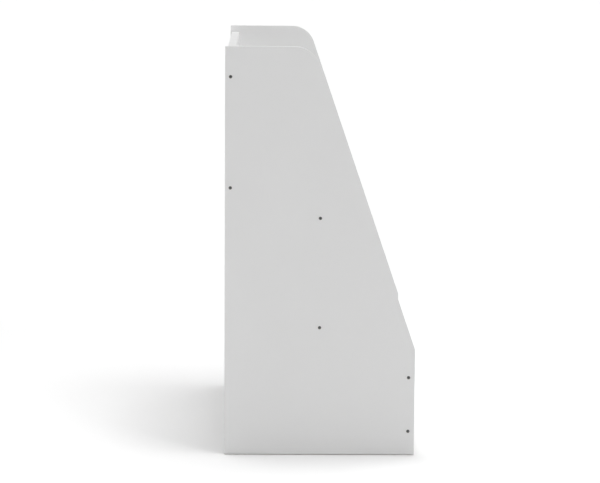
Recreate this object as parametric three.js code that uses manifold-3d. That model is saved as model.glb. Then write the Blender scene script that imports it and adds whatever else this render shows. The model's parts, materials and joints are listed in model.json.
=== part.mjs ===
// A free-standing tiered book display: two sloping side panels, three upright cross panels and
// two shelves, held by socket screws, cam fittings and dowels, on four thin foot pads.
//
// Millimetres. X runs across, with the left side panel at -X. Y runs from the front (-Y) to the
// rear (+Y). Z is up. The origin is on the floor under the middle of the display.

import * as THREE from 'three';
import { mergeVertices } from 'three/addons/utils/BufferGeometryUtils.js';
import Module from 'manifold-3d';

const wasm = await Module();
wasm.setup();

// Overall size.
const WIDTH = 680;
const DEPTH = 372;
const HEIGHT = 800;
const BOARD = 16;

// Outline of a side panel.
const FOOT_GAP = 1.2;
const FRONT_EDGE_HEIGHT = 209;
const TOP_EDGE_RUN = 169.5;
const CORNER_RADIUS = 50;
const CORNER_STEPS = 12;

// Cross panels and shelves.
const REAR_INSET = 2.5;
const FRONT_INSET = 4;
const BACK_TOP = 787;
const MIDDLE_TOP = 513.5;
const FRONT_TOP = 200;
const TALL_PANEL_HEIGHT = 410;
const FRONT_PANEL_HEIGHT = 195;
const SHELF_LIFT = 10;
const JOINT_GAP = 0.2;

// Socket screws, which go through a side panel into the end of a cross panel.
const SCREW_LENGTH = 50;
const SCREW_RADIUS = 2.2;
const SCREW_TIP_RADIUS = 1;
const SCREW_TIP_LENGTH = 4;
const SCREW_HEAD_RADIUS = 3;
const SCREW_HEAD_RIM = 0.6;
const SCREW_HEAD_DEPTH = 2;
const SCREW_HEAD_RECESS = 0.3;
const SOCKET_SIDES = 6;
const SOCKET_ACROSS_FLATS = 3;
const SOCKET_DEPTH = 2;
const SCREW_MARGIN = 45;
const TALL_SCREW_SPACING = 215;
const FRONT_SCREW_SPACING = 107;

// Wooden dowels.
const DOWEL_LENGTH = 30;
const DOWEL_RADIUS = 4;
const DOWEL_CHAMFER = 1;
const DOWEL_IN_FACE = 10;
const END_DOWEL_OFFSET = 50;
const EDGE_DOWEL_OFFSET = 200;

// Cam fittings, one at each end of each shelf.
const CAM_SETBACK = 24;
const CAM_RADIUS = 7.5;
const CAM_DEPTH = 12;
const CAM_RECESS = 0.2;
const CAM_CROSS = { length: 8, width: 1.2, depth: 1.6 };
const BOLT_THREAD = { radius: 3, length: 9 };
const BOLT_PIN = { radius: 3.5, length: 16 };
const BOLT_NECK = { radius: 2.2, length: 5 };
const BOLT_HEAD = { radius: 3.4, length: 6 };
const BOLT_EASE = 1.2;

// Foot pads, stuck to the bottom edges of the side panels.
const PAD_RADIUS = 6;
const PAD_ROUNDING = 0.4;
const PAD_SETBACK = 40;

// Clearance round every fitting, and the number of sides of the round solids.
const CLEARANCE = 0.3;
const BREAKTHROUGH = 1;
const HEAD_SIDES = 24;
const HIDDEN_SIDES = 8;
const MERGE_TOLERANCE = 1e-4;

const MATERIALS = {
  board: new THREE.MeshStandardMaterial({ color: 0xececea, roughness: 0.6, metalness: 0 }),
  screw: new THREE.MeshStandardMaterial({ color: 0x626365, roughness: 0.35, metalness: 0.9 }),
  dowel: new THREE.MeshStandardMaterial({ color: 0xcba873, roughness: 0.75, metalness: 0 }),
  zinc: new THREE.MeshStandardMaterial({ color: 0x9fa1a4, roughness: 0.4, metalness: 0.9 }),
  pad: new THREE.MeshStandardMaterial({ color: 0xdfdfdc, roughness: 0.5, metalness: 0 }),
};

const SIDES = [{ name: 'left', sign: -1 }, { name: 'right', sign: 1 }];

// Distances along the depth are counted from the rear edge of the side panels.
const fromRear = (distance) => DEPTH / 2 - distance;
const innerFace = WIDTH / 2 - BOARD;
const rearRow = REAR_INSET + BOARD / 2;
const frontRow = DEPTH - FRONT_INSET - BOARD / 2;
const middleRow = (rearRow + frontRow) / 2;

// ---- Solids -------------------------------------------------------------------------------

const TURNING_AXIS = new THREE.Vector3(0, 1, 0);

// A solid of revolution about Y, from [radius, distance along Y] points that run from axis to axis.
function turned(profile, sides) {
  const points = profile.map(([radius, along]) => new THREE.Vector2(radius, along));
  return new THREE.LatheGeometry(points, sides);
}

// The closed manifold body of a geometry, with its shared vertices merged.
function toSolid(geometry) {
  const bare = geometry.clone();
  bare.deleteAttribute('normal');
  bare.deleteAttribute('uv');
  const merged = mergeVertices(bare, MERGE_TOLERANCE);
  const corners = merged.index.array;
  const triangles = [];
  for (let i = 0; i < corners.length; i += 3) {
    const [a, b, c] = corners.slice(i, i + 3);
    if (a !== b && b !== c && c !== a) triangles.push(a, b, c);
  }
  return new wasm.Manifold(new wasm.Mesh({
    numProp: 3,
    vertProperties: new Float32Array(merged.attributes.position.array),
    triVerts: new Uint32Array(triangles),
  }));
}

function toGeometry(solid) {
  const mesh = solid.getMesh();
  const geometry = new THREE.BufferGeometry();
  geometry.setAttribute('position', new THREE.BufferAttribute(mesh.vertProperties, 3));
  geometry.setIndex(new THREE.BufferAttribute(mesh.triVerts, 1));
  geometry.computeVertexNormals();
  return geometry;
}

function cut(geometry, cutters) {
  const whole = toSolid(geometry);
  return toGeometry(cutters.reduce((solid, cutter) => solid.subtract(toSolid(cutter)), whole));
}

// ---- Fittings -----------------------------------------------------------------------------

// Every fitting is turned about its own Y axis, which is laid along a direction at its place.
// Its hole is the room that it needs in whatever it goes into.
const fittings = [];

function addFitting(name, geometry, material, hole, place, direction) {
  const mesh = new THREE.Mesh(geometry, material);
  mesh.name = name;
  mesh.position.copy(place);
  mesh.quaternion.setFromUnitVectors(TURNING_AXIS, direction);
  mesh.updateMatrix();
  fittings.push({ mesh, hole: hole.clone().applyMatrix4(mesh.matrix) });
}

function screwGeometry() {
  const tipStart = SCREW_LENGTH - SCREW_TIP_LENGTH;
  const blank = turned([
    [0, 0],
    [SCREW_HEAD_RADIUS, 0],
    [SCREW_HEAD_RADIUS, SCREW_HEAD_RIM],
    [SCREW_RADIUS, SCREW_HEAD_DEPTH],
    [SCREW_RADIUS, tipStart],
    [SCREW_TIP_RADIUS, SCREW_LENGTH],
    [0, SCREW_LENGTH],
  ], HEAD_SIDES);
  const socketRadius = SOCKET_ACROSS_FLATS / Math.sqrt(3);
  const socket = new THREE.CylinderGeometry(
    socketRadius, socketRadius, 2 * SOCKET_DEPTH, SOCKET_SIDES,
  );
  return cut(blank, [socket]);
}

function screwHole() {
  return turned([
    [0, -BREAKTHROUGH],
    [SCREW_HEAD_RADIUS + CLEARANCE, -BREAKTHROUGH],
    [SCREW_HEAD_RADIUS + CLEARANCE, SCREW_HEAD_RIM + CLEARANCE],
    [SCREW_RADIUS + CLEARANCE, SCREW_HEAD_DEPTH + CLEARANCE],
    [SCREW_RADIUS + CLEARANCE, SCREW_LENGTH + CLEARANCE],
    [0, SCREW_LENGTH + CLEARANCE],
  ], HEAD_SIDES);
}

function dowelGeometry() {
  return turned([
    [0, -DOWEL_IN_FACE],
    [DOWEL_RADIUS - DOWEL_CHAMFER, -DOWEL_IN_FACE],
    [DOWEL_RADIUS, DOWEL_CHAMFER - DOWEL_IN_FACE],
    [DOWEL_RADIUS, DOWEL_LENGTH - DOWEL_IN_FACE - DOWEL_CHAMFER],
    [DOWEL_RADIUS - DOWEL_CHAMFER, DOWEL_LENGTH - DOWEL_IN_FACE],
    [0, DOWEL_LENGTH - DOWEL_IN_FACE],
  ], HIDDEN_SIDES);
}

function dowelHole() {
  const radius = DOWEL_RADIUS + CLEARANCE;
  const bottom = -DOWEL_IN_FACE - CLEARANCE;
  const top = DOWEL_LENGTH - DOWEL_IN_FACE + CLEARANCE;
  return turned([[0, bottom], [radius, bottom], [radius, top], [0, top]], HIDDEN_SIDES);
}

// A cam bolt: the thread lies below zero, in the side panel, and the rest lies in the shelf.
const neckStart = BOLT_PIN.length;
const headStart = neckStart + BOLT_NECK.length;
const boltEnd = headStart + BOLT_HEAD.length;

function camBoltGeometry() {
  return turned([
    [0, -BOLT_THREAD.length],
    [BOLT_THREAD.radius - BOLT_EASE, -BOLT_THREAD.length],
    [BOLT_THREAD.radius, BOLT_EASE - BOLT_THREAD.length],
    [BOLT_THREAD.radius, 0],
    [BOLT_PIN.radius, 0],
    [BOLT_PIN.radius, neckStart - BOLT_EASE],
    [BOLT_NECK.radius, neckStart],
    [BOLT_NECK.radius, headStart],
    [BOLT_HEAD.radius, headStart + BOLT_EASE],
    [BOLT_HEAD.radius, boltEnd - BOLT_EASE],
    [BOLT_HEAD.radius - BOLT_EASE, boltEnd],
    [0, boltEnd],
  ], HIDDEN_SIDES);
}

function camBoltHole() {
  const bottom = -BOLT_THREAD.length - CLEARANCE;
  const top = boltEnd + CLEARANCE;
  return turned([
    [0, bottom],
    [BOLT_THREAD.radius + CLEARANCE, bottom],
    [BOLT_THREAD.radius + CLEARANCE, -CLEARANCE],
    [BOLT_PIN.radius + CLEARANCE, -CLEARANCE],
    [BOLT_PIN.radius + CLEARANCE, top],
    [0, top],
  ], HIDDEN_SIDES);
}

// A cam disc, with a cross for the screwdriver in its lower face and a bore for its bolt.
function camGeometry(boltHole) {
  const disc = turned([[0, 0], [CAM_RADIUS, 0], [CAM_RADIUS, CAM_DEPTH], [0, CAM_DEPTH]], HEAD_SIDES);
  const { length, width, depth } = CAM_CROSS;
  const cross = [
    new THREE.BoxGeometry(length, 2 * depth, width),
    new THREE.BoxGeometry(width, 2 * depth, length),
  ];
  return cut(disc, [...cross, boltHole]);
}

function camHole() {
  const radius = CAM_RADIUS + CLEARANCE;
  const top = CAM_DEPTH + CLEARANCE;
  return turned([[0, -BREAKTHROUGH], [radius, -BREAKTHROUGH], [radius, top], [0, top]], HEAD_SIDES);
}

// A foot pad: a thin disc with a rounded rim.
function padGeometry() {
  const top = FOOT_GAP - JOINT_GAP;
  return turned([
    [0, 0],
    [PAD_RADIUS - PAD_ROUNDING, 0],
    [PAD_RADIUS, PAD_ROUNDING],
    [PAD_RADIUS, top],
    [0, top],
  ], HEAD_SIDES);
}

// ---- Boards -------------------------------------------------------------------------------

const crossPanels = [
  { name: 'upper_back_panel', row: rearRow, top: BACK_TOP, height: TALL_PANEL_HEIGHT,
    screws: 'back', spacing: TALL_SCREW_SPACING },
  { name: 'middle_panel', row: middleRow, top: MIDDLE_TOP, height: TALL_PANEL_HEIGHT,
    screws: 'middle', spacing: TALL_SCREW_SPACING },
  { name: 'lower_front_panel', row: frontRow, top: FRONT_TOP, height: FRONT_PANEL_HEIGHT,
    screws: 'front', spacing: FRONT_SCREW_SPACING },
];

// Each shelf lies between two cross panels, a little above the lower edge of the rear one.
const shelves = ['upper_shelf', 'lower_shelf'].map((name, i) => {
  const behind = crossPanels[i];
  const ahead = crossPanels[i + 1];
  return {
    name,
    behind,
    ahead,
    row: (behind.row + ahead.row) / 2,
    depth: ahead.row - behind.row - BOARD - 2 * JOINT_GAP,
    underside: behind.top - behind.height + SHELF_LIFT,
  };
});

// The side outline in Y and Z: an upright front edge, then a slope that a round corner joins to
// the top edge.
function sideOutline() {
  const top = HEIGHT;
  const bottom = FOOT_GAP;
  const slopeFoot = new THREE.Vector2(fromRear(DEPTH), bottom + FRONT_EDGE_HEIGHT);
  const slopeHead = new THREE.Vector2(fromRear(TOP_EDGE_RUN), top);
  const slopeAngle = slopeHead.clone().sub(slopeFoot).angle();
  const tangentLength = CORNER_RADIUS * Math.tan(slopeAngle / 2);
  const outline = new THREE.Shape();
  outline.moveTo(fromRear(0), bottom);
  outline.lineTo(fromRear(0), top);
  outline.absarc(
    slopeHead.x + tangentLength, top - CORNER_RADIUS, CORNER_RADIUS,
    Math.PI / 2, Math.PI / 2 + slopeAngle, false,
  );
  outline.lineTo(slopeFoot.x, slopeFoot.y);
  outline.lineTo(slopeFoot.x, bottom);
  outline.closePath();
  return outline;
}

// A side panel, with its thickness along X about its own middle.
function sideGeometry() {
  const options = { depth: BOARD, bevelEnabled: false, curveSegments: CORNER_STEPS };
  const turn = new THREE.Matrix4().makeBasis(
    new THREE.Vector3(0, 1, 0), new THREE.Vector3(0, 0, 1), new THREE.Vector3(1, 0, 0),
  );
  return new THREE.ExtrudeGeometry(sideOutline(), options)
    .translate(0, 0, -BOARD / 2)
    .applyMatrix4(turn);
}

// A board with the holes of every fitting that reaches into it.
function board(name, geometry, x, y, z) {
  const holes = fittings.map(({ hole }) => hole.clone().translate(-x, -y, -z));
  const mesh = new THREE.Mesh(cut(geometry, holes), MATERIALS.board);
  mesh.name = name;
  mesh.position.set(x, y, z);
  return mesh;
}

// ---- Assembly -----------------------------------------------------------------------------

const INWARD = {
  left: new THREE.Vector3(1, 0, 0),
  right: new THREE.Vector3(-1, 0, 0),
};
const FORWARD = new THREE.Vector3(0, -1, 0);
const REARWARD = new THREE.Vector3(0, 1, 0);
const UPWARD = new THREE.Vector3(0, 0, 1);

for (const panel of crossPanels) {
  const upper = panel.top - SCREW_MARGIN;
  const levels = { upper, lower: upper - panel.spacing };
  for (const side of SIDES) {
    for (const [level, z] of Object.entries(levels)) {
      const x = side.sign * (WIDTH / 2 - SCREW_HEAD_RECESS);
      const place = new THREE.Vector3(x, fromRear(panel.row), z);
      addFitting(`screw_${panel.screws}_${side.name}_${level}`, screwGeometry(), MATERIALS.screw,
        screwHole(), place, INWARD[side.name]);
    }
  }
}

for (const shelf of shelves) {
  const z = shelf.underside + BOARD / 2;
  for (const side of SIDES) {
    const inward = INWARD[side.name];
    for (const [end, offset] of [['front', -END_DOWEL_OFFSET], ['rear', END_DOWEL_OFFSET]]) {
      const place = new THREE.Vector3(side.sign * innerFace, fromRear(shelf.row) + offset, z);
      addFitting(`dowel_${shelf.name}_${side.name}_${end}`, dowelGeometry(), MATERIALS.dowel,
        dowelHole(), place, inward);
    }

    const boltPlace = new THREE.Vector3(side.sign * innerFace, fromRear(shelf.row), z);
    addFitting(`cam_bolt_${shelf.name}_${side.name}`, camBoltGeometry(), MATERIALS.zinc,
      camBoltHole(), boltPlace, inward);

    const camX = side.sign * (innerFace - CAM_SETBACK);
    const camPlace = new THREE.Vector3(camX, fromRear(shelf.row), shelf.underside + CAM_RECESS);
    const intoCam = new THREE.Matrix4()
      .compose(camPlace, new THREE.Quaternion().setFromUnitVectors(TURNING_AXIS, UPWARD),
        new THREE.Vector3(1, 1, 1))
      .invert();
    const boltHole = fittings.at(-1).hole.clone().applyMatrix4(intoCam);
    addFitting(`cam_disc_${shelf.name}_${side.name}`, camGeometry(boltHole), MATERIALS.zinc,
      camHole(), camPlace, UPWARD);

    // Dowels from the faces of the two cross panels into the long edges of the shelf.
    const x = side.sign * EDGE_DOWEL_OFFSET;
    const rearFace = fromRear(shelf.behind.row + BOARD / 2);
    const frontFace = fromRear(shelf.ahead.row - BOARD / 2);
    addFitting(`dowel_${shelf.name}_rear_edge_${side.name}`, dowelGeometry(), MATERIALS.dowel,
      dowelHole(), new THREE.Vector3(x, rearFace, z), FORWARD);
    addFitting(`dowel_${shelf.name}_front_edge_${side.name}`, dowelGeometry(), MATERIALS.dowel,
      dowelHole(), new THREE.Vector3(x, frontFace, z), REARWARD);
  }
}

const pads = new THREE.Group();
for (const side of SIDES) {
  for (const [end, distance] of [['front', DEPTH - PAD_SETBACK], ['rear', PAD_SETBACK]]) {
    const pad = new THREE.Mesh(padGeometry(), MATERIALS.pad);
    pad.name = `foot_pad_${side.name}_${end}`;
    pad.position.set(side.sign * (WIDTH - BOARD) / 2, fromRear(distance), 0);
    pad.quaternion.setFromUnitVectors(TURNING_AXIS, UPWARD);
    pads.add(pad);
  }
}

const boards = new THREE.Group();
for (const side of SIDES) {
  const x = side.sign * (WIDTH - BOARD) / 2;
  boards.add(board(`side_panel_${side.name}`, sideGeometry(), x, 0, 0));
}
const crossLength = 2 * (innerFace - JOINT_GAP);
for (const panel of crossPanels) {
  const box = new THREE.BoxGeometry(crossLength, BOARD, panel.height);
  boards.add(board(panel.name, box, 0, fromRear(panel.row), panel.top - panel.height / 2));
}
for (const shelf of shelves) {
  const box = new THREE.BoxGeometry(crossLength, shelf.depth, BOARD);
  boards.add(board(shelf.name, box, 0, fromRear(shelf.row), shelf.underside + BOARD / 2));
}

const bookDisplay = new THREE.Group();
bookDisplay.add(boards, pads, ...fittings.map(({ mesh }) => mesh));

export default bookDisplay;
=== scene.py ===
# The looks of the tiered book display: white laminate boards, socket screws, cam fittings, dowels
# and foot pads, on a pale floor in soft studio light. Metres, in the frame's own axes.

import json
import math

import bmesh
import bpy
from mathutils import Matrix, Vector


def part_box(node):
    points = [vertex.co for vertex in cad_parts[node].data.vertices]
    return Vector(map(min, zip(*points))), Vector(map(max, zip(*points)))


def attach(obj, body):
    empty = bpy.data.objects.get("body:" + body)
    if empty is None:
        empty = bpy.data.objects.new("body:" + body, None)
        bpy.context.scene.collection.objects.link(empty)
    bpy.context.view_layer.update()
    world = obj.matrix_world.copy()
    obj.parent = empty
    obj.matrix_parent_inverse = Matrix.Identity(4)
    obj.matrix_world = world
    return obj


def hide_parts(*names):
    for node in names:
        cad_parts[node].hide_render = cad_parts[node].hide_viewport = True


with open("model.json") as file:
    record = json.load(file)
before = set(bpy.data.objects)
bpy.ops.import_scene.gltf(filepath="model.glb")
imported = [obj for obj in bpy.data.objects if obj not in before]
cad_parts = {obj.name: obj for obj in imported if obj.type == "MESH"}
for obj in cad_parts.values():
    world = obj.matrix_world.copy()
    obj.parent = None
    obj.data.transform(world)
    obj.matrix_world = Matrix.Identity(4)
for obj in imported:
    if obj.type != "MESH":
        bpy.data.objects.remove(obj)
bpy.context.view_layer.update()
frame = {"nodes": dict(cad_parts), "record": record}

MM = 0.001

# Camera and light, set up to the view of the left side.
CAMERA_PLACE = (-5.1975, 0.0986, 1.1313)
CAMERA_HEADING = math.radians(-90.691)
CAMERA_TILT = math.radians(-8.2955)
CAMERA_ROLL = math.radians(0.395)
LENS_MM = 151.93
VIEW_DISTANCE = 200
FLOOR_HALF_SIZE = 40.0
FLOOR_TONE = 0.97
SKY_STRENGTH = 0.24
# Suns: azimuth that the light comes from (0 is +X, 90 is the rear), elevation, spread, strength.
SUNS = {
    "overhead_front": (315, 78, 24, 0.67),
    "overhead_rear": (45, 78, 24, 0.96),
    "overhead_left": (180, 78, 24, 0.31),
    "high_left": (250, 66, 24, 0.53),
    "low_left": (225, 15, 18, 0.6),
}
SOFTBOX = {"place": (0, 0, 1.4), "aim": (0, 0, 0.5), "size": 0.4, "power": 1.46}

# The boards' edges.
EDGE_RADIUS = 0.6 * MM
EDGE_SEGMENTS = 3
SHARP_ANGLE = math.radians(35)
FLAT_ANGLE = math.radians(0.5)
WELD_DISTANCE = 0.001 * MM

# How a board's faces are told apart: the cosine from which a face is square to an axis, how near
# it then lies to the board's box, and how far round a fitting its hole reaches.
SQUARE = 0.99
FACE_TOLERANCE = 0.05 * MM
HOLE_MARGIN = 0.8 * MM

# The boards' raw core.
FLAKE_SIZE = 1.3 * MM
FLAKE_FLATNESS = 2.6

# Numbers of sides of the round pieces, and steps in each turn of a thread.
ROUND_SIDES = 48
DOWEL_SIDES = 96
CAM_SIDES = 144
THREAD_STEPS = 10

# Socket screws. Distances run from the head towards the point.
SOCKET_ACROSS_FLATS = 3 * MM
SOCKET_DEPTH = 2 * MM
SOCKET_POINT = 0.3 * MM
HEAD_CHAMFER = 0.25 * MM
HEAD_RIM = 0.6 * MM
HEAD_DEPTH = 2 * MM
SHANK_TO_HEAD = 2.2 / 3
PLAIN_SHANK_END = 12 * MM
SCREW_CORE_START = 12.4 * MM
SCREW_THREAD_START = 12.6 * MM
SCREW_TIP_LENGTH = 4 * MM
SCREW_THREAD_PITCH = 2.5 * MM
SCREW_THREAD_DEPTH = 0.55 * MM

# Fluted dowels. The ends are eased in two steps, at these distances from the end.
FLUTES = 16
FLUTE_DEPTH = 0.35 * MM
DOWEL_EASE_STEP = 0.6 * MM
DOWEL_EASE = 1.2 * MM

# Cam bolts. Distances run from the thread's tip. The stem and head are listed by radius and by
# distance back from the end of the head, in millimetres.
BOLT_CORE = 2.4 * MM
BOLT_THREAD_START = 1.2 * MM
BOLT_THREAD_END = 8.4 * MM
BOLT_THREAD_PITCH = 1.8 * MM
BOLT_THREAD_DEPTH = 0.6 * MM
BOLT_STEM = (
    (2.9, 12.6),
    (2.2, 11.2),
    (2.2, 6.0),
    (3.2, 4.9),
    (3.4, 4.2),
    (3.4, 1.6),
    (2.9, 0.5),
    (2.0, 0),
)

# Cam discs and foot pads.
CAM_EASE = 0.3 * MM
PAD_ROUNDING = 0.4 * MM
PAD_EASE = 0.2 * MM

nodes = frame["nodes"]
boxes = {name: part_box(name) for name in nodes}
scene = bpy.context.scene


# ---- Node helpers -------------------------------------------------------------------------

class Shader:
    """A material's node tree, with short calls for the nodes that the materials here use."""

    def __init__(self, name):
        self.material = bpy.data.materials.new(name)
        self.material.use_nodes = True
        self.tree = self.material.node_tree
        self.surface = self.tree.nodes["Principled BSDF"]
        self.place = self.tree.nodes.new("ShaderNodeTexCoord").outputs["Object"]

    def link(self, output, socket):
        self.tree.links.new(output, self.surface.inputs[socket])

    def stretched(self, scale):
        node = self.tree.nodes.new("ShaderNodeMapping")
        node.inputs["Scale"].default_value = scale
        self.tree.links.new(self.place, node.inputs["Vector"])
        return node.outputs["Vector"]

    def noise(self, size, detail=2.0, roughness=0.5, vector=None):
        node = self.tree.nodes.new("ShaderNodeTexNoise")
        node.inputs["Scale"].default_value = 1 / size
        node.inputs["Detail"].default_value = detail
        node.inputs["Roughness"].default_value = roughness
        self.tree.links.new(vector or self.place, node.inputs["Vector"])
        return node.outputs["Fac"]

    def cells(self, size, vector):
        """Cells with a random grey each."""
        node = self.tree.nodes.new("ShaderNodeTexVoronoi")
        node.inputs["Scale"].default_value = 1 / size
        self.tree.links.new(vector, node.inputs["Vector"])
        grey = self.tree.nodes.new("ShaderNodeSeparateColor")
        self.tree.links.new(node.outputs["Color"], grey.inputs["Color"])
        return grey.outputs["Red"]

    def ramp(self, factor, *stops):
        node = self.tree.nodes.new("ShaderNodeValToRGB")
        elements = node.color_ramp.elements
        while len(elements) < len(stops):
            elements.new(0.5)
        for element, (position, colour) in zip(elements, stops):
            element.position = position
            element.color = (*colour, 1)
        self.tree.links.new(factor, node.inputs["Fac"])
        return node.outputs["Color"]

    def span(self, factor, low, high):
        node = self.tree.nodes.new("ShaderNodeMapRange")
        node.inputs["To Min"].default_value = low
        node.inputs["To Max"].default_value = high
        self.tree.links.new(factor, node.inputs["Value"])
        return node.outputs["Result"]

    def mean(self, first, second):
        node = self.tree.nodes.new("ShaderNodeMix")
        node.inputs["Factor"].default_value = 0.5
        self.tree.links.new(first, node.inputs["A"])
        self.tree.links.new(second, node.inputs["B"])
        return node.outputs["Result"]

    def bump(self, height, depth, strength=1.0, under=None):
        node = self.tree.nodes.new("ShaderNodeBump")
        node.inputs["Strength"].default_value = strength
        node.inputs["Distance"].default_value = depth
        self.tree.links.new(height, node.inputs["Height"])
        if under:
            self.tree.links.new(under, node.inputs["Normal"])
        return node.outputs["Normal"]


# ---- Materials ----------------------------------------------------------------------------

def laminate():
    """White melamine: a fine pearl texture, slightly uneven over a hand's width."""
    s = Shader("white_laminate")
    s.link(s.ramp(
        s.noise(120 * MM, detail=3),
        (0.3, (0.781, 0.781, 0.780)),
        (0.7, (0.790, 0.790, 0.789)),
    ), "Base Color")
    s.link(s.span(s.noise(35 * MM, detail=4), 0.40, 0.50), "Roughness")
    wave = s.bump(s.noise(60 * MM, detail=1), 0.12 * MM, strength=0.5)
    pearl = s.bump(s.noise(1.1 * MM, detail=3), 0.02 * MM, strength=0.6, under=wave)
    s.link(pearl, "Normal")
    return s.material


def edge_band():
    """The plastic strip on a board's edges: a little smoother and greyer than the faces."""
    s = Shader("white_edge_band")
    s.link(s.ramp(
        s.noise(40 * MM, detail=2),
        (0.3, (0.742, 0.742, 0.741)),
        (0.7, (0.762, 0.762, 0.761)),
    ), "Base Color")
    s.link(s.span(s.noise(12 * MM, detail=3), 0.32, 0.42), "Roughness")
    s.link(s.bump(s.noise(2.5 * MM, detail=2), 0.02 * MM, strength=0.5), "Normal")
    return s.material


def particleboard(thin):
    """The raw core, on lower edges and in drilled holes: flakes pressed flat across the thin axis."""
    s = Shader("raw_particleboard_" + "xyz"[thin])
    squeeze = [1, 1, 1]
    squeeze[thin] = FLAKE_FLATNESS
    pressed = s.stretched(squeeze)
    flake = s.cells(FLAKE_SIZE, pressed)
    dust = s.noise(FLAKE_SIZE / 3, detail=4, roughness=0.7, vector=pressed)
    s.link(s.ramp(
        s.mean(flake, dust),
        (0.15, (0.24, 0.15, 0.08)),
        (0.40, (0.41, 0.30, 0.19)),
        (0.65, (0.52, 0.41, 0.28)),
        (0.90, (0.62, 0.52, 0.38)),
    ), "Base Color")
    s.link(s.span(dust, 0.80, 0.98), "Roughness")
    s.link(s.bump(dust, 0.25 * MM, strength=0.8), "Normal")
    return s.material


def dark_steel():
    """Dark nickel plating on the socket screws."""
    s = Shader("dark_steel")
    s.surface.inputs["Metallic"].default_value = 1.0
    s.link(s.ramp(
        s.noise(1.5 * MM, detail=4),
        (0.3, (0.100, 0.101, 0.103)),
        (0.7, (0.145, 0.147, 0.149)),
    ), "Base Color")
    s.link(s.span(s.noise(0.6 * MM, detail=3), 0.22, 0.36), "Roughness")
    s.link(s.bump(s.noise(0.3 * MM), 0.01 * MM, strength=0.4), "Normal")
    return s.material


def zinc():
    """Die-cast zinc, dull and slightly mottled."""
    s = Shader("cast_zinc")
    s.surface.inputs["Metallic"].default_value = 1.0
    s.link(s.ramp(
        s.noise(2.5 * MM, detail=5),
        (0.3, (0.38, 0.39, 0.40)),
        (0.7, (0.52, 0.53, 0.54)),
    ), "Base Color")
    s.link(s.span(s.noise(1.2 * MM, detail=3), 0.38, 0.60), "Roughness")
    s.link(s.bump(s.noise(0.35 * MM, detail=3), 0.03 * MM, strength=0.6), "Normal")
    return s.material


def beech():
    """Raw beech dowel, with short dark pores."""
    s = Shader("beech")
    grain = s.noise(1.2 * MM, detail=5, roughness=0.65)
    s.link(s.ramp(
        grain,
        (0.25, (0.42, 0.27, 0.14)),
        (0.55, (0.62, 0.44, 0.26)),
        (0.8, (0.70, 0.53, 0.34)),
    ), "Base Color")
    s.link(s.span(grain, 0.68, 0.88), "Roughness")
    s.link(s.bump(grain, 0.1 * MM, strength=0.5), "Normal")
    return s.material


def white_plastic():
    """Soft polyethylene of the foot pads, lightly scuffed."""
    s = Shader("white_plastic")
    s.link(s.ramp(
        s.noise(4 * MM, detail=4),
        (0.35, (0.60, 0.60, 0.58)),
        (0.65, (0.72, 0.72, 0.70)),
    ), "Base Color")
    s.link(s.span(s.noise(1 * MM, detail=4), 0.35, 0.60), "Roughness")
    s.link(s.bump(s.noise(0.5 * MM, detail=3), 0.03 * MM, strength=0.5), "Normal")
    return s.material


MATERIALS = {
    "white_laminate": laminate(),
    "edge_band": edge_band(),
    "core_x": particleboard(0),
    "core_y": particleboard(1),
    "core_z": particleboard(2),
    "dark_steel": dark_steel(),
    "zinc": zinc(),
    "beech": beech(),
    "white_plastic": white_plastic(),
}


# ---- Boards -------------------------------------------------------------------------------

BOARD_NODES = [
    row["node"] for row in frame["record"]["subparts"] if row["material_slot"] == "white_laminate"
]
FITTING_NODES = [name for name in nodes if name not in BOARD_NODES]


def on_box(centre, normal, low, high):
    """Whether a face lies on the surface of a board's box, low to high."""
    return any(
        abs(n) > SQUARE and min(abs(c - a), abs(c - b)) < FACE_TOLERANCE
        for n, c, a, b in zip(normal, centre, low, high)
    )


def in_a_hole(centre, normal, low, high):
    """Whether a face of a board, whose box is low to high, is the wall or floor of a drilled hole."""
    for name in FITTING_NODES:
        near, far = boxes[name]
        if all(a - HOLE_MARGIN < c < b + HOLE_MARGIN for a, c, b in zip(near, centre, far)):
            if not on_box(centre, normal, low, high):
                return True
    return False


def paint_board(mesh, low, high):
    """Gives a board laminate faces, edge bands, and raw core in its holes and on its lower edge."""
    thin = min(range(3), key=lambda axis: (high - low)[axis])
    slots = ("white_laminate", "edge_band", "core_" + "xyz"[thin])
    laminate_slot, band_slot, core_slot = range(len(slots))
    mesh.materials.clear()
    for slot in slots:
        mesh.materials.append(MATERIALS[slot])
    for face in mesh.polygons:
        if in_a_hole(face.center, face.normal, low, high):
            face.material_index = core_slot
        elif abs(face.normal[thin]) > SQUARE:
            face.material_index = laminate_slot
        elif face.normal.z < -SQUARE:
            face.material_index = core_slot
        else:
            face.material_index = band_slot
        face.use_smooth = True


def ease_board(piece):
    """Rounds a board's edges slightly, with modifiers that leave its CAD mesh as it is."""
    for attribute in ("custom_normal", "sharp_edge", "sharp_face"):
        if attribute in piece.data.attributes:
            piece.data.attributes.remove(piece.data.attributes[attribute])
    weld = piece.modifiers.new("weld", "WELD")
    weld.merge_threshold = WELD_DISTANCE
    flat = piece.modifiers.new("flat", "DECIMATE")
    flat.decimate_type = "DISSOLVE"
    flat.angle_limit = FLAT_ANGLE
    flat.delimit = {"MATERIAL"}
    bevel = piece.modifiers.new("edge", "BEVEL")
    bevel.width = EDGE_RADIUS
    bevel.segments = EDGE_SEGMENTS
    bevel.limit_method = "ANGLE"
    bevel.angle_limit = SHARP_ANGLE
    bevel.harden_normals = True


# ---- Round pieces -------------------------------------------------------------------------

# An outline gives the radius at each angle round the axis.

def circle(radius):
    return lambda angle: radius


def hexagon(apothem):
    return lambda angle: apothem / math.cos((angle % (math.pi / 3)) - math.pi / 6)


def cross(half_length, half_width):
    def radius(angle):
        turned = (angle + math.pi / 4) % (math.pi / 2) - math.pi / 4
        along = half_length / math.cos(turned)
        across = half_width / max(abs(math.sin(turned)), 1e-9)
        return min(along, across)
    return radius


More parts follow.
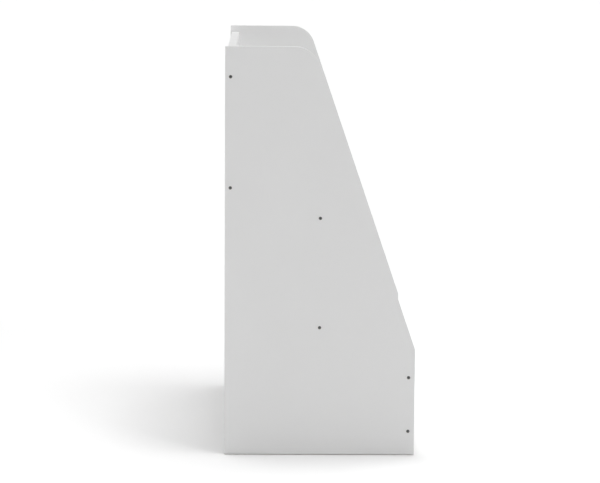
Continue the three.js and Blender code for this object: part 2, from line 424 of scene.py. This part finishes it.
def fluted(radius, depth, count):
    return lambda angle: radius - depth * max(0.0, math.cos(count * angle)) ** 2


def skin(name, rings, sides=ROUND_SIDES):
    """A closed mesh through rings of (outline, distance along Z), from one end of the axis to the other."""
    mesh = bpy.data.meshes.new(name)
    shape = bmesh.new()
    angles = [2 * math.pi * i / sides for i in range(sides)]
    loops = []
    for outline, along in rings:
        loops.append([
            shape.verts.new((outline(a) * math.cos(a), outline(a) * math.sin(a), along))
            for a in angles
        ])
    for before, after in zip(loops, loops[1:]):
        for i in range(sides):
            j = (i + 1) % sides
            shape.faces.new((before[i], before[j], after[j], after[i]))
    for loop in (loops[0], loops[-1]):
        shape.faces.new(loop)
    bmesh.ops.recalc_face_normals(shape, faces=shape.faces)
    for edge in shape.edges:
        edge.smooth = edge.calc_face_angle(0) < SHARP_ANGLE
    for face in shape.faces:
        face.smooth = True
    shape.to_mesh(mesh)
    shape.free()
    return mesh


def seat(mesh, node, direction, slot):
    """Puts a piece with a round mesh where a CAD node is, with its Z along a direction."""
    low, high = boxes[node]
    axis = Vector(direction)
    half = Vector(abs(a) * s / 2 for a, s in zip(axis, high - low))
    piece = bpy.data.objects.new(node + ".fine", mesh)
    scene.collection.objects.link(piece)
    piece.location = (low + high) / 2 - axis * half.length
    piece.rotation_mode = "QUATERNION"
    piece.rotation_quaternion = axis.to_track_quat("Z", "Y")
    if not mesh.materials:
        mesh.materials.append(MATERIALS[slot])
    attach(piece, "root")
    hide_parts(node)


def thread(start, end, core, depth, pitch):
    """Rings of a screw thread: a ridge that climbs once round the core in each pitch."""
    rings = []
    steps = round((end - start) / pitch * THREAD_STEPS)
    for i in range(steps + 1):
        share = i / steps
        along = start + (end - start) * share
        fade = min(1.0, share * 8, (1 - share) * 8)

        def radius(angle, along=along, fade=fade):
            phase = (along / pitch - angle / (2 * math.pi)) % 1.0
            ridge = max(0.0, 1 - abs(phase - 0.5) * 4)
            return core + depth * fade * ridge

        rings.append((radius, along))
    return rings


def screw_mesh():
    """A socket screw, from the bottom of its socket out over the head and along to the point."""
    low, high = boxes["screw_back_left_upper"]
    length = (high - low).x
    head = (high - low).y / 2
    shank = head * SHANK_TO_HEAD
    core = shank - SCREW_THREAD_DEPTH
    thread_end = length - SCREW_TIP_LENGTH
    flat = SOCKET_ACROSS_FLATS / 2
    return skin("socket_screw", [
        (hexagon(flat * 0.5), SOCKET_DEPTH + SOCKET_POINT),
        (hexagon(flat), SOCKET_DEPTH),
        (hexagon(flat), HEAD_CHAMFER / 2),
        (hexagon(flat + HEAD_CHAMFER / 2), 0),
        (circle(head - HEAD_CHAMFER), 0),
        (circle(head), HEAD_CHAMFER),
        (circle(head), HEAD_RIM),
        (circle(shank), HEAD_DEPTH),
        (circle(shank), PLAIN_SHANK_END),
        (circle(core), SCREW_CORE_START),
        *thread(SCREW_THREAD_START, thread_end, core, SCREW_THREAD_DEPTH, SCREW_THREAD_PITCH),
        (circle(core * 0.6), length - 1 * MM),
        (circle(core * 0.2), length),
    ])


def dowel_mesh():
    """A fluted dowel with eased ends."""
    low, high = boxes["dowel_upper_shelf_left_front"]
    length = (high - low).x
    radius = (high - low).y / 2
    tip = circle(radius - 1 * MM)
    eased = fluted(radius - 0.3 * MM, FLUTE_DEPTH, FLUTES)
    full = fluted(radius, FLUTE_DEPTH, FLUTES)
    return skin("fluted_dowel", [
        (tip, 0),
        (eased, DOWEL_EASE_STEP),
        (full, DOWEL_EASE),
        (full, length - DOWEL_EASE),
        (eased, length - DOWEL_EASE_STEP),
        (tip, length),
    ], sides=DOWEL_SIDES)


def bolt_mesh():
    """A cam bolt, from its thread through the pin to the necked head that the cam grips."""
    low, high = boxes["cam_bolt_upper_shelf_left"]
    length = (high - low).x
    pin = (high - low).y / 2
    return skin("cam_bolt", [
        (circle(1.2 * MM), 0),
        (circle(BOLT_CORE), 1.0 * MM),
        *thread(BOLT_THREAD_START, BOLT_THREAD_END, BOLT_CORE, BOLT_THREAD_DEPTH, BOLT_THREAD_PITCH),
        (circle(pin), 9.0 * MM),
        (circle(pin), 10.0 * MM),
        (circle(2.9 * MM), 10.4 * MM),
        *((circle(radius * MM), length - back * MM) for radius, back in BOLT_STEM),
    ])


def cam_mesh():
    """A cam disc, from the bottom of its driver cross out over a ring groove and up to its top."""
    low, high = boxes["cam_disc_upper_shelf_left"]
    radius = (high - low).x / 2
    depth = (high - low).z
    return skin("cam_disc", [
        (cross(2.6 * MM, 0.40 * MM), 1.9 * MM),
        (cross(3.9 * MM, 0.55 * MM), 1.4 * MM),
        (cross(4.0 * MM, 0.60 * MM), 0),
        (circle(5.6 * MM), 0),
        (circle(5.8 * MM), 0.25 * MM),
        (circle(6.6 * MM), 0.25 * MM),
        (circle(6.8 * MM), 0),
        (circle(radius - CAM_EASE), 0),
        (circle(radius), CAM_EASE),
        (circle(radius), depth - CAM_EASE),
        (circle(radius - CAM_EASE), depth),
    ], sides=CAM_SIDES)


def pad_mesh():
    """A foot pad: a thin disc with a rounded lower rim."""
    low, high = boxes["foot_pad_left_front"]
    radius = (high - low).x / 2
    height = (high - low).z
    rim = []
    for degrees in (0, 22.5, 45, 67.5, 90):
        turn = math.radians(degrees)
        outline = circle(radius - PAD_ROUNDING * (1 - math.sin(turn)))
        rim.append((outline, PAD_ROUNDING * (1 - math.cos(turn))))
    return skin("foot_pad", [
        *rim,
        (circle(radius), height - PAD_EASE),
        (circle(radius - PAD_EASE), height),
    ])


# ---- Assembly -----------------------------------------------------------------------------

def direction_of(kind, node):
    """Which way a fitting points: screws and bolts inward, dowels along their length, others up."""
    low, high = boxes[node]
    if kind == "dowel":
        return (1, 0, 0) if (high - low).x > (high - low).y else (0, 1, 0)
    if kind in ("screw", "cam_bolt"):
        return (-math.copysign(1, (low + high).x), 0, 0)
    return (0, 0, 1)


for name in BOARD_NODES:
    paint_board(nodes[name].data, *boxes[name])
    ease_board(nodes[name])

FINE_MESHES = {
    "screw": (screw_mesh(), "dark_steel"),
    "dowel": (dowel_mesh(), "beech"),
    "cam_bolt": (bolt_mesh(), "zinc"),
    "cam_disc": (cam_mesh(), "zinc"),
    "foot_pad": (pad_mesh(), "white_plastic"),
}
for name in FITTING_NODES:
    kind = next(k for k in FINE_MESHES if name.startswith(k + "_"))
    mesh, slot = FINE_MESHES[kind]
    seat(mesh, name, direction_of(kind, name), slot)


# ---- Stage --------------------------------------------------------------------------------

def floor():
    mesh = bpy.data.meshes.new("floor")
    h = FLOOR_HALF_SIZE
    mesh.from_pydata([(-h, -h, 0), (h, -h, 0), (h, h, 0), (-h, h, 0)], [], [(0, 1, 2, 3)])
    piece = bpy.data.objects.new("floor", mesh)
    scene.collection.objects.link(piece)
    material = bpy.data.materials.new("pale_floor")
    material.use_nodes = True
    surface = material.node_tree.nodes["Principled BSDF"]
    surface.inputs["Base Color"].default_value = (FLOOR_TONE, FLOOR_TONE, FLOOR_TONE, 1)
    surface.inputs["Roughness"].default_value = 1.0
    surface.inputs["Specular IOR Level"].default_value = 0.0
    mesh.materials.append(material)


def sky():
    """An even white surround that lights less strongly than it looks."""
    world = bpy.data.worlds.new("studio")
    world.use_nodes = True
    scene.world = world
    tree = world.node_tree
    background = tree.nodes["Background"]
    background.inputs["Color"].default_value = (1, 1, 1, 1)
    rays = tree.nodes.new("ShaderNodeLightPath")
    strength = tree.nodes.new("ShaderNodeMapRange")
    strength.inputs["To Min"].default_value = SKY_STRENGTH
    strength.inputs["To Max"].default_value = 1.0
    tree.links.new(rays.outputs["Is Camera Ray"], strength.inputs["Value"])
    tree.links.new(strength.outputs["Result"], background.inputs["Strength"])


def suns():
    for name, (azimuth, elevation, spread, strength) in SUNS.items():
        light = bpy.data.lights.new(name, "SUN")
        light.energy = strength
        light.angle = math.radians(spread)
        piece = bpy.data.objects.new(name, light)
        turn = Matrix.Rotation(math.radians(azimuth + 90), 4, "Z")
        lean = Matrix.Rotation(math.radians(90 - elevation), 4, "X")
        piece.matrix_world = turn @ lean
        scene.collection.objects.link(piece)


def softbox():
    light = bpy.data.lights.new("softbox", "AREA")
    light.size = SOFTBOX["size"]
    light.energy = SOFTBOX["power"]
    piece = bpy.data.objects.new("softbox", light)
    place = Vector(SOFTBOX["place"])
    aim = (Vector(SOFTBOX["aim"]) - place).to_track_quat("-Z", "Y")
    piece.matrix_world = Matrix.Translation(place) @ aim.to_matrix().to_4x4()
    piece.visible_camera = False
    scene.collection.objects.link(piece)


def camera():
    data = bpy.data.cameras.new("camera")
    data.lens = LENS_MM
    data.clip_end = VIEW_DISTANCE
    piece = bpy.data.objects.new("camera", data)
    scene.collection.objects.link(piece)
    heading = Matrix.Rotation(CAMERA_HEADING, 4, "Z")
    tilt = Matrix.Rotation(math.pi / 2 + CAMERA_TILT, 4, "X")
    roll = Matrix.Rotation(CAMERA_ROLL, 4, "Z")
    piece.matrix_world = Matrix.Translation(CAMERA_PLACE) @ heading @ tilt @ roll
    scene.camera = piece


floor()
sky()
suns()
softbox()
camera()
scene.view_settings.view_transform = "Standard"
